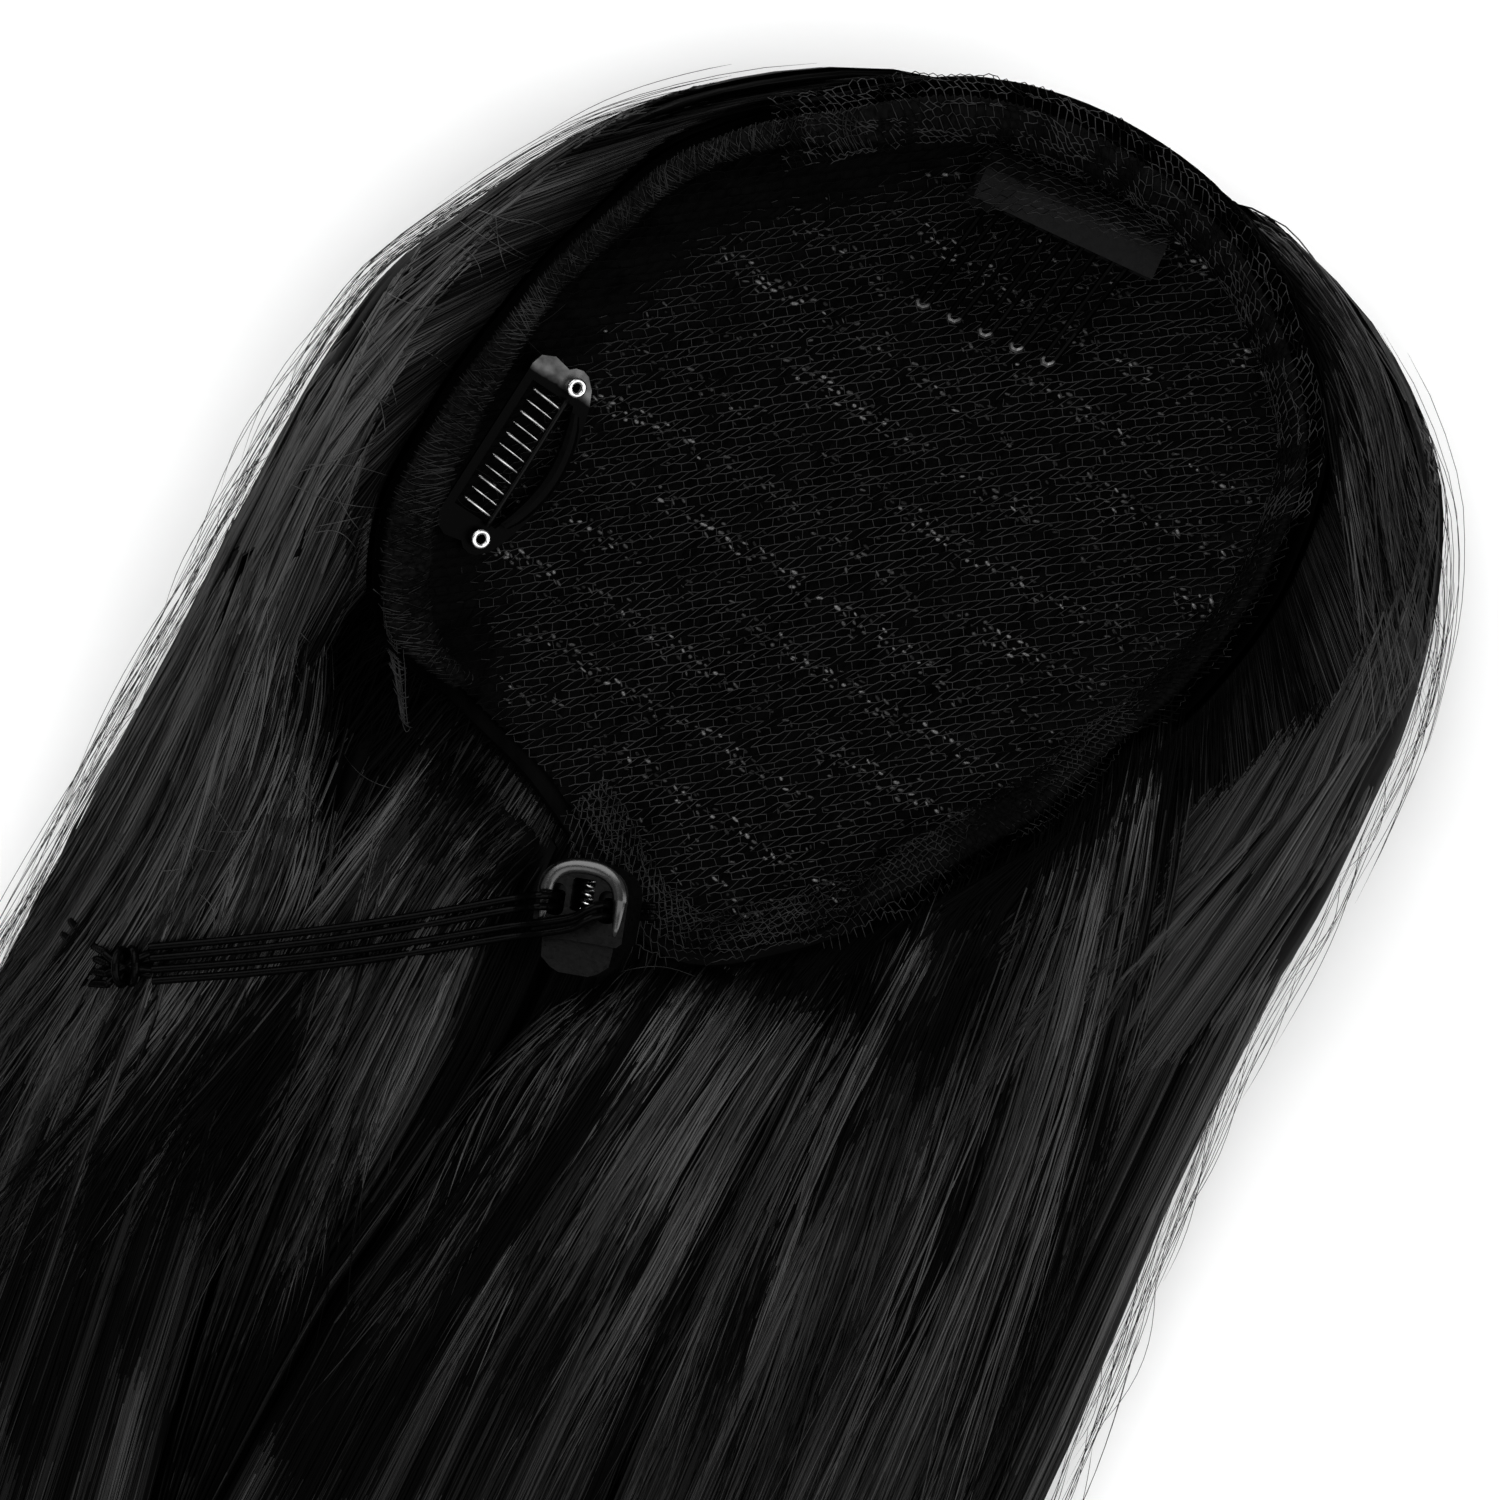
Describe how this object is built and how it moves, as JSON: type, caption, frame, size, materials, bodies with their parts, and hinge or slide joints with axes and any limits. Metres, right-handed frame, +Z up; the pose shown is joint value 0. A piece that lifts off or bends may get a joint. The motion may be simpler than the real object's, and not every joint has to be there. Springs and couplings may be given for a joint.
{
  "type": "drawstring ponytail hairpiece",
  "caption": "Long straight synthetic ponytail hairpiece with a net cap, gathered drawstring casing, snap clip, wire side comb and spring cord lock on an elastic drawstring.",
  "frame": {"origin": "on the flat underside of the hair, under the middle of the net cap", "axes": "+Z up, the way the cap opens; -Y towards the hair tips; +X to the right as the open cap is looked into with the tips downwards"},
  "size_m": [0.1865, 0.4259, 0.0391],
  "materials": {
    "hair": "straight black synthetic hair fibre, glossy along the strand",
    "net": "black knitted net over sewn hair wefts",
    "casing": "black net folded and gathered into fine ribs",
    "elastic": "braided black round elastic",
    "clip_steel": "black lacquered spring steel",
    "bright_steel": "bright plated steel",
    "grip_rubber": "smooth black silicone rubber",
    "comb_wire": "black lacquered wire, worn bright at the tips",
    "tape": "smooth dark grey woven tape",
    "lock_plastic": "satin moulded black plastic"
  },
  "bodies": {
    "hairpiece": {"net_cap": "net", "drawstring_casing": "casing", "hair_under": "hair", "hair_left": "hair", "hair_inner_left": "hair", "hair_center": "hair", "hair_right": "hair", "side_comb": "comb_wire", "comb_tape": "tape", "clip_back": "clip_steel", "clip_grip": "grip_rubber", "clip_eyelet_upper": "bright_steel", "clip_eyelet_lower": "bright_steel", "lock_body": "lock_plastic", "lock_spring": "bright_steel", "cord_upper_1": "elastic", "cord_upper_2": "elastic", "cord_lower_1": "elastic", "cord_lower_2": "elastic", "cord_knot": "elastic", "cord_tail_1": "elastic", "cord_tail_2": "elastic", "cord_tail_3": "elastic", "cord_tail_4": "elastic"},
    "clip_bar": {"clip_comb": "bright_steel"},
    "lock_push": {"lock_button": "lock_plastic"}
  },
  "joints": [
    {"name": "clip_snap", "type": "hinge", "parent": "hairpiece", "child": "clip_bar", "pos_m": [-0.05237, -0.01474, 0.02148], "axis": [0.1324, 0.9912, 0], "range_deg": [0, 65]},
    {"name": "lock_press", "type": "slide", "parent": "hairpiece", "child": "lock_push", "axis": [-0.2731, 0.962, 0], "range_m": [0, 0.0018], "stiffness_N_per_m": 400, "springref_m": -0.002, "deforming": ["lock_spring"]}
  ]
}
